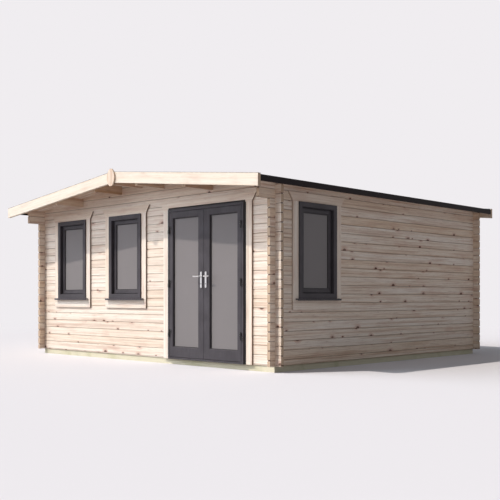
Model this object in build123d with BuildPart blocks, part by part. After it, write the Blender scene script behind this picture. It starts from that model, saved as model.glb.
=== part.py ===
"""Log cabin: a garden room of interlocking 44 mm logs under a low apex roof.

The gable front faces -Y and carries two tall windows and a pair of glazed doors; the right side has one window.
Units are millimetres, +Z is up, and the origin is on the ground at the middle of the overall box.
"""

import math
import os

from build123d import *

# Walls
wall_width = 4930.0  # over the outer faces of the side walls
wall_depth = 4580.0  # over the outer faces of the front and back walls
log_thickness = 44.0
log_pitch = 110.0  # one course of logs
log_end = 90.0  # how far the logs run past a corner
long_logs = 2  # the top side logs, which carry the front of the roof
long_log_end = 271.0
bottom_log_extra = 15.0  # the bottom course has a flat foot below its first pitch
full_courses = 19  # whole courses in the front and back walls
log_gap = 0.4  # play between one log and the next
v_groove = 7.0  # chamfer along the faces of a log
end_bevel = 11.0  # chamfer across the ends of a log
tongue_width = 18.0
tongue_height = 9.0
tongue_draft = 2.0  # how much each side of a tongue leans in
groove_play = 0.6

# Base and floor
base_height = 72.0
bearer_width = 70.0
side_inset = 26.0  # the base stands back from the side walls
front_inset = 15.0  # and from the front and back walls
joist_width = 44.0
joist_count = 9
floor_thickness = 19.0
floor_gap = 6.0  # expansion gap round the floor

# Roof
roof_pitch = 6.2  # degrees
eaves_height = 2204.0  # underside of the roof boards at the outer face of the side walls
roof_board = 28.0
felt = 3.0
side_overhang = 197.0  # to the outside of the eaves trim
front_overhang = 455.0
back_overhang = 145.0
eaves_trim_thickness = 18.0
eaves_trim_height = 70.0
eaves_trim_upstand = 11.0  # above the felt
bargeboard_thickness = 44.0
bargeboard_below = 87.0  # below the underside of the roof boards
bargeboard_above = 54.0  # above it
finial_width = 160.0
finial_height = 229.0
finial_thickness = 20.0
finial_tip = 36.0  # width of its blunt ends
finial_drop = 49.0  # below the bottom edge of the bargeboards at the apex
purlin_width = 44.0
purlin_depth = 115.0
purlin_offsets = (461.0, 1394.0)  # from the ridge

# Windows
window_width = 715.0
window_height = 1155.0
window_head = 17.5  # in courses above the height they are counted from
left_window_x = -1637.0
centre_window_x = -343.0
side_window_y = 746.0  # behind the outer face of the front wall
frame_face = 62.0
frame_proud = 35.0  # outer face of the frame, in front of the logs
frame_depth = 70.0
sash_setback = 40.0  # behind the outer face of the frame
sash_face = 60.0
sash_depth = 53.0
sash_lap = 26.0  # how far the sash reaches behind the frame
sash_play = 4.0  # round the sash, in the rebate of the frame
glass_thickness = 24.0
glass_edge = 12.0  # hidden in the sash or leaf
glass_setback = 15.0  # behind the face of the sash
frame_bevel = 6.0
bead_bevel = 8.0
cill_thickness = 15.0
cill_nose = 24.0  # height of the front edge
cill_lip = 4.0  # thickness of the nose
cill_reach = 27.0  # in front of the frame
cill_horn = 55.0  # beyond the frame at each end
cill_fall = 4.0

# Timber trim round the windows and doors
trim_width = 100.0
trim_thickness = 20.0
trim_head = 108.0
trim_splay = 72.0  # how much wider the head is at its top, at each end
trim_foot = 109.0
door_trim_width = 118.0

# Doors
door_x = 1296.0
door_width = 1384.0
door_proud = 45.0
door_frame_depth = 75.0
door_jamb = 32.0
door_stop = 18.0
leaf_gap = 5.0
meeting_gap = 6.0
meeting_bevel = 7.0  # the meeting edges fall back towards the inside, so that either leaf swings free
leaf_depth = 60.0
hinge_stile = 67.0
meeting_stile = 107.0
top_rail = 82.0
bottom_rail = 132.0
leaf_glass_setback = 25.0
threshold_height = 24.0
threshold_upstand = 14.0

# Hinges
hinge_heights = (406.0, 1051.0, 1745.0)
hinge_length = 96.0
hinge_radius = 9.0
hinge_pin = 4.0
hinge_play = 0.3
hinge_standoff = 12.0  # from the face of the door to the pin
hinge_plate = 4.0
hinge_plate_width = 30.0
hinge_web = 18.0

# Lever handles
handle_height = 1135.0
handle_from_edge = 40.0
plate_length = 206.0
plate_width = 30.0
plate_thickness = 9.0
plate_below = 147.0  # from the lever down to the foot of the plate
lever_length = 102.0
lever_radius = 8.5
lever_standoff = 46.0
lever_bend = 16.0
lever_sides = 8  # flats round the grip
lever_end_bevel = 3.0
spindle_radius = 4.0
spindle_hole = 6.0

# Fits
seat_gap = 0.3  # between pieces that bear on each other
fitting_gap = 0.5  # round frames in the log walls

# Derived levels
slope = math.tan(math.radians(roof_pitch))
half_width = wall_width / 2
datum = base_height + bottom_log_extra  # height from which the courses are counted
ridge_height = eaves_height + half_width * slope
roof_board_rise = roof_board / math.cos(math.radians(roof_pitch))
felt_rise = felt / math.cos(math.radians(roof_pitch))
opening_head = datum + window_head * log_pitch
window_foot = opening_head - window_height
wall_top = datum + full_courses * log_pitch

# Derived places along Y
front_reach = front_overhang + bargeboard_thickness + finial_thickness + seat_gap
back_reach = back_overhang + bargeboard_thickness + finial_thickness + seat_gap
front_face = front_reach - (front_reach + wall_depth + back_reach) / 2
back_face = front_face + wall_depth
roof_front = front_face - front_overhang
roof_back = back_face + back_overhang
roof_half = half_width + side_overhang - eaves_trim_thickness

os.makedirs("parts", exist_ok=True)


def roof_underside(x):
    """Height of the underside of the roof boards at a distance x from the ridge line."""
    return ridge_height - abs(x) * slope


def save(piece, name):
    """Labels a finished piece and writes it under its own name."""
    piece.part.label = name
    export_step(piece.part, f"parts/{name}.step")


def log_outline(middle, bottom, top):
    """Section of a log without its tongue and groove: flat faces with chamfered edges."""
    half = log_thickness / 2
    flat = half - v_groove
    shoulder = top - log_gap
    foot = [(-half, bottom + v_groove), (-flat, bottom), (flat, bottom), (half, bottom + v_groove)]
    head = [(half, shoulder - v_groove), (flat, shoulder), (-flat, shoulder), (-half, shoulder - v_groove)]
    return [(middle + across, height) for across, height in foot + head]


def tongue_outline(middle, foot, play=0.0):
    """Section of the tongue on top of a log; play opens it up to the groove that takes it."""
    root = tongue_width / 2 + play
    tip = root - tongue_draft
    crest = foot + tongue_height + play
    return [(middle - root, foot), (middle + root, foot), (middle + tip, crest), (middle - tip, crest)]


def space_above_walls():
    """Sketches the space above the roof boards' underside, to trim the walls to the slope of the roof."""
    far = half_width + side_overhang
    high = ridge_height + log_pitch * 2
    Polygon(
        (-far, roof_underside(far) - seat_gap),
        (0, ridge_height - seat_gap),
        (far, roof_underside(far) - seat_gap),
        (far, high),
        (-far, high),
        align=None,
    )


def corner_slots(joints):
    """Sketches the slots, half a course high, that the logs of the crossing wall lock into."""
    width = log_thickness + 2 * seat_gap
    with Locations(*joints):
        Rectangle(width, log_pitch / 2 + log_gap)


def end_bevels(ends, joints):
    """Sketches the notches that the bevelled ends of two logs leave at each joint between them."""
    for end, inward in ends:
        for joint in joints:
            Polygon(
                (end, joint - end_bevel),
                (end + inward * end_bevel, joint),
                (end, joint + end_bevel),
                align=None,
            )


def gable_wall(outer_face, inward, openings):
    """Front or back wall: whole courses crossed at the corners, a gable above, and the holes cut through."""
    middle = outer_face + inward * log_thickness / 2
    near, far = sorted((outer_face, outer_face + inward * log_thickness))
    reach = half_width + log_end
    through = 4 * log_thickness
    joints = [datum + log_pitch * course for course in range(full_courses + 1)]
    gable_courses = math.ceil((ridge_height - wall_top) / log_pitch)
    gable_joints = [wall_top + log_pitch * course for course in range(gable_courses)]
    inside = half_width - log_thickness - seat_gap
    with BuildPart() as wall:
        with BuildSketch(Plane.YZ.offset(-reach)):
            for course in range(full_courses):
                bottom = base_height if course == 0 else joints[course]
                Polygon(*log_outline(middle, bottom, joints[course + 1]), align=None)
        extrude(amount=2 * reach)
        with BuildSketch(Plane.YZ.offset(-inside)):
            for bottom in gable_joints:
                Polygon(*log_outline(middle, bottom, bottom + log_pitch), align=None)
        extrude(amount=2 * inside)
        with BuildSketch(Plane.YZ.offset(-inside)):
            for joint in joints[1:-1] + gable_joints:
                Polygon(*tongue_outline(middle, joint, groove_play), align=None)
        extrude(amount=2 * inside, mode=Mode.SUBTRACT)
        with BuildSketch(Plane.YZ.offset(-inside)):
            for joint in joints[1:-1] + gable_joints:
                Polygon(*tongue_outline(middle, joint - log_gap), align=None)
        extrude(amount=2 * inside)
        with BuildSketch(Plane.XZ.offset(-far - through)):
            crossings = [side * (half_width - log_thickness / 2) for side in (-1, 1)]
            corner_slots([(x, z) for x in crossings for z in joints])
            end_bevels([(-reach, 1), (reach, -1)], joints[1:])
            for x, foot, width, head in openings:
                with Locations((x, (foot + head) / 2)):
                    Rectangle(width + 2 * fitting_gap, head - foot)
            for x in purlin_places():
                Polygon(*purlin_outline(x, seat_gap), align=None)
            space_above_walls()
        extrude(amount=log_thickness + 2 * through, mode=Mode.SUBTRACT)
    return wall


def side_wall(side, openings):
    """Left or right wall: it starts with half a course, so that its logs lie between those of the gable walls."""
    middle = side * (half_width - log_thickness / 2)
    joints = [datum + log_pitch * (course + 0.5) for course in range(full_courses)]
    inside = log_thickness + seat_gap
    with BuildPart() as wall:
        with BuildSketch(Plane.XZ.offset(-back_face - log_end)):
            for course in range(full_courses + 1 - long_logs):
                bottom = base_height if course == 0 else joints[course - 1]
                Polygon(*log_outline(middle, bottom, joints[course]), align=None)
        extrude(amount=wall_depth + 2 * log_end)
        with BuildSketch(Plane.XZ.offset(-back_face - log_end)):
            for course in range(long_logs):
                bottom = joints[full_courses - long_logs + course]
                Polygon(*log_outline(middle, bottom, bottom + log_pitch), align=None)
        extrude(amount=wall_depth + log_end + long_log_end)
        with BuildSketch(Plane.XZ.offset(inside - back_face)):
            for joint in joints:
                Polygon(*tongue_outline(middle, joint, groove_play), align=None)
        extrude(amount=wall_depth - 2 * inside, mode=Mode.SUBTRACT)
        with BuildSketch(Plane.XZ.offset(inside - back_face)):
            for joint in joints:
                Polygon(*tongue_outline(middle, joint - log_gap), align=None)
        extrude(amount=wall_depth - 2 * inside)
        crossings = [front_face + log_thickness / 2, back_face - log_thickness / 2]
        with BuildSketch(Plane.YZ.offset(middle - log_pitch)):
            corner_slots([(y, z) for y in crossings for z in joints])
            end_bevels([(front_face - log_end, 1)], joints[: full_courses - long_logs])
            end_bevels([(front_face - long_log_end, 1)], joints[full_courses - long_logs + 1 :])
            end_bevels([(back_face + log_end, -1)], joints)
            for y, foot, width, head in openings:
                with Locations((y, (foot + head) / 2)):
                    Rectangle(width + 2 * fitting_gap, head - foot)
        extrude(amount=2 * log_pitch, mode=Mode.SUBTRACT)
        with BuildSketch(Plane.XZ.offset(-roof_back)):
            space_above_walls()
        extrude(amount=roof_back - roof_front, mode=Mode.SUBTRACT)
    return wall


def purlin_places():
    """Distances of the purlins from the ridge line, from left to right."""
    return [-x for x in reversed(purlin_offsets)] + [0.0] + list(purlin_offsets)


def purlin_outline(x, play=0.0):
    """Section of a purlin, its top bevelled to the roof; play opens it up to the slot that it lies in."""
    half = purlin_width / 2 + play
    bottom = roof_underside(x) - purlin_depth - play
    over = 2 * log_pitch if play else -seat_gap
    points = [(x - half, bottom), (x + half, bottom), (x + half, roof_underside(x + half) + over)]
    if x == 0:
        points.append((0, ridge_height + over))
    points.append((x - half, roof_underside(x - half) + over))
    return points


def purlins(places):
    """Purlins that run from the back of one pair of bargeboards to the other."""
    with BuildPart() as beams:
        with BuildSketch(Plane.XZ.offset(-roof_back + seat_gap)):
            for x in places:
                Polygon(*purlin_outline(x), align=None)
        extrude(amount=roof_back - roof_front - 2 * seat_gap)
    return beams


def slope_band(side, inner, outer, low, high):
    """Outline of a band that follows one roof slope between two heights above the roof boards' underside."""
    points = [(inner, roof_underside(inner) + low), (outer, roof_underside(outer) + low)]
    points += [(outer, roof_underside(outer) + high), (inner, roof_underside(inner) + high)]
    return [(side * x, z) for x, z in points]


def roof_boards(side):
    """One slope of tongued roof boards, nailed down as a single deck."""
    with BuildPart() as deck:
        with BuildSketch(Plane.XZ.offset(-roof_back)):
            Polygon(*slope_band(side, seat_gap / 2, roof_half, 0, roof_board_rise), align=None)
        extrude(amount=roof_back - roof_front)
    return deck


def roof_felt(side):
    """Felt on one slope, turned up against the bargeboards and over their top edges."""
    bed = roof_board_rise + seat_gap
    top = bed + felt_rise
    outer = roof_half - seat_gap
    verge = half_width + side_overhang
    cap = bargeboard_above + seat_gap
    with BuildPart() as sheet:
        with BuildSketch(Plane.XZ.offset(-roof_back)):
            Polygon(*slope_band(side, seat_gap / 2, outer, bed, top), align=None)
        extrude(amount=roof_back - roof_front)
        for edge, outward in ((roof_front, -1), (roof_back, 1)):
            turn_up = edge - outward * felt
            with BuildSketch(Plane.XZ.offset(-max(edge, turn_up))):
                Polygon(*slope_band(side, seat_gap / 2, outer, bed, cap + felt_rise), align=None)
            extrude(amount=felt)
            lip = edge + outward * bargeboard_thickness
            with BuildSketch(Plane.XZ.offset(-max(turn_up, lip))):
                Polygon(*slope_band(side, seat_gap / 2, verge, cap, cap + felt_rise), align=None)
            extrude(amount=abs(lip - turn_up))
    return sheet


def bargeboard(side, inner_face, outward):
    """Board on the verge of one slope, cut plumb at the apex and at the eaves."""
    near = inner_face + outward * seat_gap
    start = max(near, near + outward * (bargeboard_thickness - seat_gap))
    verge = half_width + side_overhang
    with BuildPart() as board:
        with BuildSketch(Plane.XZ.offset(-start)):
            Polygon(*slope_band(side, seat_gap / 2, verge, -bargeboard_below, bargeboard_above), align=None)
        extrude(amount=bargeboard_thickness - seat_gap)
    return board


def gable_finials():
    """Round-sided plates that cover the joint of the bargeboards at both apexes."""
    foot = ridge_height - bargeboard_below - finial_drop
    head = foot + finial_height
    middle = (foot + head) / 2
    with BuildPart() as plates:
        for outer in (roof_front - bargeboard_thickness - seat_gap, roof_back + bargeboard_thickness + seat_gap):
            start = outer if outer < 0 else outer + finial_thickness
            with BuildSketch(Plane.XZ.offset(-start)):
                with BuildLine():
                    right = ThreePointArc(
                        (finial_tip / 2, foot), (finial_width / 2, middle), (finial_tip / 2, head)
                    )
                    Line(right @ 1, (-finial_tip / 2, head))
                    left = ThreePointArc(
                        (-finial_tip / 2, head), (-finial_width / 2, middle), (-finial_tip / 2, foot)
                    )
                    Line(left @ 1, right @ 0)
                make_face()
            extrude(amount=finial_thickness)
    return plates


def eaves_trims():
    """Black edge trims that close the lower edges of both slopes, between the bargeboards."""
    edge = half_width + side_overhang
    top = roof_underside(roof_half) + roof_board_rise + felt_rise + eaves_trim_upstand
    with BuildPart() as trims:
        with BuildSketch(Plane.XZ.offset(-roof_back + seat_gap)):
            for side in (-1, 1):
                middle = side * (edge - (eaves_trim_thickness - seat_gap) / 2)
                with Locations((middle, top - eaves_trim_height / 2)):
                    Rectangle(eaves_trim_thickness - seat_gap, eaves_trim_height)
        extrude(amount=roof_back - roof_front - 2 * seat_gap)
    return trims


def base_bearers():
    """Four bearers under the walls."""
    left = -half_width + side_inset
    front = front_face + front_inset
    back = back_face - front_inset
    width = 2 * abs(left)
    with BuildPart() as bearers:
        with BuildSketch():
            for y in (front + bearer_width / 2, back - bearer_width / 2):
                with Locations((0, y)):
                    Rectangle(width, bearer_width)
            for x in (left + bearer_width / 2, -left - bearer_width / 2):
                with Locations((x, (front + back) / 2)):
                    Rectangle(bearer_width, back - front - 2 * (bearer_width + log_gap))
        extrude(amount=base_height - seat_gap)
    return bearers


def floor_joists():
    """Joists between the front and back bearers."""
    clear = 2 * (half_width - side_inset - bearer_width)
    length = wall_depth - 2 * (front_inset + bearer_width + log_gap)
    spacing = clear / (joist_count + 1)
    with BuildPart() as joists:
        with BuildSketch():
            with Locations((0, (front_face + back_face) / 2)):
                with GridLocations(spacing, 0, joist_count, 1):
                    Rectangle(joist_width, length)
        extrude(amount=base_height - seat_gap)
    return joists


def floorboards():
    """Boarded floor inside the four walls."""
    inset = log_thickness + floor_gap
    with BuildPart() as floor:
        with BuildSketch(Plane.XY.offset(base_height)):
            with Locations((0, (front_face + back_face) / 2)):
                Rectangle(wall_width - 2 * inset, wall_depth - 2 * inset)
        extrude(amount=floor_thickness)
    return floor


def border(width, height, sides, foot, head):
    """Sketches a frame that stands on the sketch's X axis, with its own width of side, foot and head."""
    with Locations((0, height / 2)):
        Rectangle(width, height)
    with Locations((0, (foot + height - head) / 2)):
        Rectangle(width - 2 * sides, height - foot - head, mode=Mode.SUBTRACT)


def window_frame(place):
    """Fixed outer frame: a front flange with a bevelled edge, and behind it a rebate for the sash."""
    behind = frame_face - sash_lap
    with BuildPart() as frame:
        with BuildSketch(place.offset(frame_proud - frame_depth)):
            border(window_width, window_height, behind, behind, behind)
        extrude(amount=frame_depth)
        with BuildSketch(place.offset(frame_proud - sash_setback + seat_gap)):
            border(window_width, window_height, frame_face, frame_face, frame_face)
        extrude(amount=sash_setback - seat_gap)
        face = frame.faces().sort_by(Axis(place.origin, place.z_dir))[-1]
        chamfer(face.inner_wires()[0].edges(), length=frame_bevel)
    return frame


def window_cill(place):
    """Projecting cill: a tongue under the frame, and a sloping top with a nose in front of the trim."""
    outer = frame_proud + cill_reach
    with BuildPart() as cill:
        with BuildSketch(place.offset(frame_proud - frame_depth)):
            with Locations((0, -cill_thickness / 2)):
                Rectangle(window_width, cill_thickness - 2 * seat_gap)
        extrude(amount=frame_depth)
        across = Plane(origin=place.origin, x_dir=(0, 0, 1), z_dir=place.x_dir)
        reach = window_width / 2 + cill_horn
        top = -seat_gap
        inner = trim_thickness + seat_gap
        section = [
            (top, inner),
            (top, frame_proud),
            (top - cill_fall, outer),
            (-cill_nose, outer),
            (-cill_nose, outer - cill_lip),
            (-cill_thickness, outer - cill_lip - cill_fall),
            (-cill_thickness, inner),
        ]
        with BuildSketch(across.offset(-reach)):
            Polygon(*section, align=None)
        extrude(amount=2 * reach)
    return cill


def window_sash(place):
    """Glazed sash held behind the flange of the frame, with a channel for the edges of the glass."""
    clear = sash_play
    inset = frame_face - sash_lap + clear
    width = window_width - 2 * inset
    height = window_height - 2 * inset
    section = sash_face + sash_lap - clear
    face = frame_proud - sash_setback
    standing = Plane(origin=place.origin + place.y_dir * inset, x_dir=place.x_dir, z_dir=place.z_dir)
    with BuildPart() as sash:
        with BuildSketch(standing.offset(face - sash_depth)):
            border(width, height, section, section, section)
        extrude(amount=sash_depth)
        front = sash.faces().sort_by(Axis(place.origin, place.z_dir))[-1]
        chamfer(front.inner_wires()[0].edges(), length=bead_bevel)
        channel = section - glass_edge - seat_gap
        with BuildSketch(standing.offset(face - glass_setback - glass_thickness - seat_gap)):
            with Locations((0, height / 2)):
                Rectangle(width - 2 * channel, height - 2 * channel)
        extrude(amount=glass_thickness + 2 * seat_gap, mode=Mode.SUBTRACT)
    return sash


def window_glass(place):
    """Sealed double glazing unit."""
    shows = frame_face + sash_face
    face = frame_proud - sash_setback - glass_setback
    with BuildPart() as glass:
        with BuildSketch(place.offset(face - glass_thickness)):
            with Locations((0, window_height / 2)):
                Rectangle(
                    window_width - 2 * (shows - glass_edge),
                    window_height - 2 * (shows - glass_edge),
                )
        extrude(amount=glass_thickness)
    return glass


def opening_trim(place, width, height, side_board, foot):
    """Timber boards round an opening: two uprights, a head with splayed ends and, under a window, a foot."""
    reach = width / 2 + side_board
    inner = width / 2 + fitting_gap
    low = foot - trim_foot if foot < 0 else 0
    with BuildPart() as boards:
        with BuildSketch(place.offset(seat_gap)):
            for side in (-1, 1):
                with Locations((side * (inner + reach) / 2, (low + height) / 2)):
                    Rectangle(reach - inner, height - low - seat_gap)
            Polygon(
                (-reach, height + seat_gap),
                (reach, height + seat_gap),
                (reach + trim_splay, height + trim_head),
                (-reach - trim_splay, height + trim_head),
                align=None,
            )
            if foot < 0:
                with Locations((0, foot - trim_foot / 2)):
                    Rectangle(2 * inner - 2 * seat_gap, trim_foot)
        extrude(amount=trim_thickness - seat_gap)
    return boards


def door_frame():
    """Jambs and head, with a stop that the leaves close towards."""
    place = door_place
    behind = door_proud - leaf_depth - leaf_gap
    back = door_proud - door_frame_depth
    height = opening_head - base_height
    with BuildPart() as frame:
        with BuildSketch(place.offset(back)):
            border(door_width, height, door_jamb, 0, door_jamb)
        extrude(amount=door_frame_depth)
        stop = door_jamb + door_stop
        with BuildSketch(place.offset(back)):
            border(door_width, height, stop, 0, stop)
        extrude(amount=behind - back)
    return frame


def door_threshold():
    """Low sill between the jambs, turned up behind the leaves."""
    back = -log_thickness - floor_gap + seat_gap
    behind = door_proud - leaf_depth - leaf_gap
    half = door_width / 2 - door_jamb - seat_gap
    across = Plane(origin=door_place.origin, x_dir=(0, -1, 0), z_dir=(-1, 0, 0))
    frame_back = door_proud - door_frame_depth
    with BuildPart() as sill:
        with BuildSketch(across.offset(-half)):
            Polygon(
                (back, 0),
                (door_proud, 0),
                (door_proud, threshold_height),
                (behind, threshold_height),
                (behind, threshold_height + threshold_upstand),
                (frame_back, threshold_height + threshold_upstand),
                (back, threshold_height),
                align=None,
            )
        extrude(amount=2 * half)
        with BuildSketch(door_place.offset(back)):
            for side in (-1, 1):
                with Locations((side * (half - door_stop / 2), threshold_height)):
                    Rectangle(door_stop, 2 * threshold_height)
        extrude(amount=behind - back, mode=Mode.SUBTRACT)
    return sill


def leaf_edges(side):
    """Where one leaf begins and ends along the doorway: its hinge edge, then its meeting edge."""
    return side * (door_width / 2 - door_jamb - leaf_gap), side * meeting_gap / 2


def glass_edges(side):
    """Edges of the glass that shows in one leaf, hinge side first."""
    hinge_edge, meeting_edge = leaf_edges(side)
    return hinge_edge - side * hinge_stile, meeting_edge + side * meeting_stile


def span(first, second, low, high):
    """Sketches the rectangle between two places along the doorway and two heights."""
    with Locations(((first + second) / 2, (low + high) / 2)):
        Rectangle(abs(second - first), high - low)


def door_leaf(side):
    """Glazed leaf with a channel for the glass, a meeting edge that falls back, and a hole for the spindle."""
    hinge_edge, meeting_edge = leaf_edges(side)
    glass_outer, glass_inner = glass_edges(side)
    with BuildPart() as leaf:
        with BuildSketch(door_place.offset(door_proud - leaf_depth)):
            span(hinge_edge, meeting_edge, leaf_foot, leaf_head)
        extrude(amount=leaf_depth)
        with BuildSketch(door_place.offset(door_proud - leaf_depth)):
            span(glass_outer, glass_inner, leaf_foot + bottom_rail, leaf_head - top_rail)
        extrude(amount=leaf_depth, mode=Mode.SUBTRACT)
        front = leaf.faces().sort_by(Axis.Y)[0]
        chamfer(front.inner_wires()[0].edges(), length=bead_bevel)
        with BuildSketch(door_place.offset(door_proud - leaf_glass_setback - glass_thickness - seat_gap)):
            edge = glass_edge + seat_gap
            span(
                glass_outer + side * edge,
                glass_inner - side * edge,
                leaf_foot + bottom_rail - edge,
                leaf_head - top_rail + edge,
            )
        extrude(amount=glass_thickness + 2 * seat_gap, mode=Mode.SUBTRACT)
        with BuildSketch(Plane.XY.offset(base_height)):
            outer = front_face - door_proud
            Polygon(
                (door_x + meeting_edge, outer),
                (door_x + meeting_edge + side * meeting_bevel, outer + leaf_depth),
                (door_x + meeting_edge, outer + leaf_depth),
                align=None,
            )
        extrude(amount=leaf_head, mode=Mode.SUBTRACT)
        with BuildSketch(door_place.offset(door_proud - leaf_depth)):
            with Locations((lever_x(side), lever_y)):
                Circle(spindle_hole)
        extrude(amount=leaf_depth, mode=Mode.SUBTRACT)
    return leaf


def door_glass(side):
    """Sealed double glazing unit of one leaf."""
    glass_outer, glass_inner = glass_edges(side)
    with BuildPart() as glass:
        with BuildSketch(door_place.offset(door_proud - leaf_glass_setback - glass_thickness)):
            span(
                glass_outer + side * glass_edge,
                glass_inner - side * glass_edge,
                leaf_foot + bottom_rail - glass_edge,
                leaf_head - top_rail + glass_edge,
            )
        extrude(amount=glass_thickness)
    return glass


def lever_x(side):
    """Place of the spindle along the doorway."""
    return leaf_edges(side)[1] + side * handle_from_edge


def handle_plates(side):
    """Backplates on both faces of a leaf, each with a hole for the spindle."""
    middle = lever_y + plate_length / 2 - plate_below
    with BuildPart() as plates:
        for near in (door_proud + seat_gap, door_proud - leaf_depth - plate_thickness):
            with BuildSketch(door_place.offset(near)):
                with Locations((lever_x(side), middle)):
                    SlotOverall(plate_length, plate_width, rotation=90)
                with Locations((lever_x(side), lever_y)):
                    Circle(spindle_radius + hinge_play, mode=Mode.SUBTRACT)
            extrude(amount=plate_thickness - seat_gap)
    return plates


def door_lever(side):
    """Levers on both faces of a leaf, turning on one spindle."""
    x = lever_x(side)
    outside = door_proud + plate_thickness
    inside = door_proud - leaf_depth - plate_thickness
    with BuildPart() as lever:
        with BuildSketch(door_place.offset(inside - lever_standoff)):
            with Locations((x, lever_y)):
                Circle(spindle_radius)
        extrude(amount=outside - inside + 2 * lever_standoff)
        for base, outward in ((outside, 1), (inside, -1)):
            grip = base + outward * lever_standoff
            rose = door_place.from_local_coords((x, lever_y, base + outward * hinge_play))
            elbow = door_place.from_local_coords((x, lever_y, grip))
            tip = door_place.from_local_coords((x + side * lever_length, lever_y, grip))
            with BuildLine() as route:
                FilletPolyline(rose, elbow, tip, radius=lever_bend)
            with BuildSketch(Plane(origin=rose, z_dir=elbow - rose)):
                RegularPolygon(lever_radius, lever_sides, rotation=180 / lever_sides)
            sweep(path=route.wires()[0])
        ends = lever.faces().group_by(Axis.X)[-1 if side > 0 else 0]
        chamfer(ends.edges(), length=lever_end_bevel)
    return lever


def hinge_pin_x(side):
    """Place of a hinge pin along the doorway."""
    return side * (door_width / 2 - door_jamb - leaf_gap / 2)


def hinge_half(side, toward_leaf):
    """Sketches one half of a flag hinge in plan: a knuckle on the pin's axis, a web and a plate on the face."""
    along = -side if toward_leaf else side
    x = door_x + hinge_pin_x(side)
    face = front_face - door_proud
    axis = face - hinge_standoff
    root = leaf_gap / 2 + 1
    with Locations((x, axis)):
        Circle(hinge_radius)
    Polygon(
        (x, axis - hinge_radius),
        (x + along * hinge_web, face - hinge_plate - seat_gap),
        (x + along * hinge_web, face - seat_gap),
        (x + along * root, face - seat_gap),
        (x, axis),
        align=None,
    )
    Polygon(
        (x + along * root, face - hinge_plate - seat_gap),
        (x + along * (root + hinge_plate_width), face - hinge_plate - seat_gap),
        (x + along * (root + hinge_plate_width), face - seat_gap),
        (x + along * root, face - seat_gap),
        align=None,
    )


def frame_hinges():
    """Lower halves of the hinges, on the jambs, with the pins that the leaves hang on."""
    knuckle = hinge_length / 2 - seat_gap / 2
    with BuildPart() as hinges:
        for side in (-1, 1):
            for height in hinge_heights:
                with BuildSketch(Plane.XY.offset(height - hinge_length / 2)):
                    hinge_half(side, toward_leaf=False)
                extrude(amount=knuckle)
                with BuildSketch(Plane.XY.offset(height - hinge_length / 2)):
                    with Locations((door_x + hinge_pin_x(side), front_face - door_proud - hinge_standoff)):
                        Circle(hinge_pin)
                extrude(amount=hinge_length - hinge_radius)
    return hinges


def leaf_hinges(side):
    """Upper halves of the hinges of one leaf, each bored to drop over its pin."""
    knuckle = hinge_length / 2 - seat_gap / 2
    with BuildPart() as hinges:
        for height in hinge_heights:
            foot = height + seat_gap / 2
            with BuildSketch(Plane.XY.offset(foot)):
                hinge_half(side, toward_leaf=True)
            extrude(amount=knuckle)
            with BuildSketch(Plane.XY.offset(foot)):
                with Locations((door_x + hinge_pin_x(side), front_face - door_proud - hinge_standoff)):
                    Circle(hinge_pin + hinge_play)
            extrude(amount=hinge_length / 2 - hinge_radius + hinge_play * 2, mode=Mode.SUBTRACT)
    return hinges


door_place = Plane(origin=(door_x, front_face, base_height + seat_gap), x_dir=(1, 0, 0), z_dir=(0, -1, 0))
leaf_foot = threshold_height + leaf_gap
leaf_head = opening_head - base_height - seat_gap - door_jamb - leaf_gap
lever_y = handle_height - base_height - seat_gap

window_places = {
    "left_window": Plane(
        origin=(left_window_x, front_face, window_foot), x_dir=(1, 0, 0), z_dir=(0, -1, 0)
    ),
    "centre_window": Plane(
        origin=(centre_window_x, front_face, window_foot), x_dir=(1, 0, 0), z_dir=(0, -1, 0)
    ),
    "side_window": Plane(
        origin=(half_width, front_face + side_window_y, window_foot), x_dir=(0, 1, 0), z_dir=(1, 0, 0)
    ),
}

window_hole = (window_foot - cill_thickness, window_width, opening_head + fitting_gap)
front_openings = [(x,) + window_hole for x in (left_window_x, centre_window_x)]
front_openings.append((door_x, base_height - log_pitch, door_width, opening_head + fitting_gap))
side_openings = [(front_face + side_window_y,) + window_hole]

save(base_bearers(), "base_bearers")
save(floor_joists(), "floor_joists")
save(floorboards(), "floorboards")
save(gable_wall(front_face, 1, front_openings), "front_wall")
save(gable_wall(back_face, -1, []), "back_wall")
save(side_wall(-1, []), "left_wall")
save(side_wall(1, side_openings), "right_wall")
save(purlins([0.0]), "ridge_purlin")
save(purlins([x for x in purlin_places() if x]), "side_purlins")
for name, side in (("left", -1), ("right", 1)):
    save(roof_boards(side), f"{name}_roof_boards")
    save(roof_felt(side), f"{name}_roof_felt")
    save(bargeboard(side, roof_front, -1), f"front_{name}_bargeboard")
    save(bargeboard(side, roof_back, 1), f"back_{name}_bargeboard")
save(gable_finials(), "gable_finials")
save(eaves_trims(), "eaves_trims")
for name, place in window_places.items():
    save(window_frame(place), f"{name}_frame")
    save(window_cill(place), f"{name}_cill")
    save(window_sash(place), f"{name}_sash")
    save(window_glass(place), f"{name}_glass")
    save(opening_trim(place, window_width, window_height, trim_width, -cill_nose), f"{name}_trim")
save(door_frame(), "door_frame")
save(door_threshold(), "door_threshold")
save(opening_trim(door_place, door_width, opening_head - base_height, door_trim_width, 0), "door_trim")
save(frame_hinges(), "door_frame_hinges")
for name, side in (("left", -1), ("right", 1)):
    save(door_leaf(side), f"{name}_door_leaf")
    save(door_glass(side), f"{name}_door_glass")
    save(leaf_hinges(side), f"{name}_door_hinges")
    save(handle_plates(side), f"{name}_door_plates")
    save(door_lever(side), f"{name}_door_lever")
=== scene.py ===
"""Dresses the log cabin: planed spruce, foiled frames, felt, glass and fittings, with a studio and a camera.

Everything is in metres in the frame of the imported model: +Z up, the gable front faces -Y.
"""
import logging
import math
from dataclasses import dataclass
from enum import Enum
from functools import cached_property
from typing import Any, Iterable, Sequence

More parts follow.
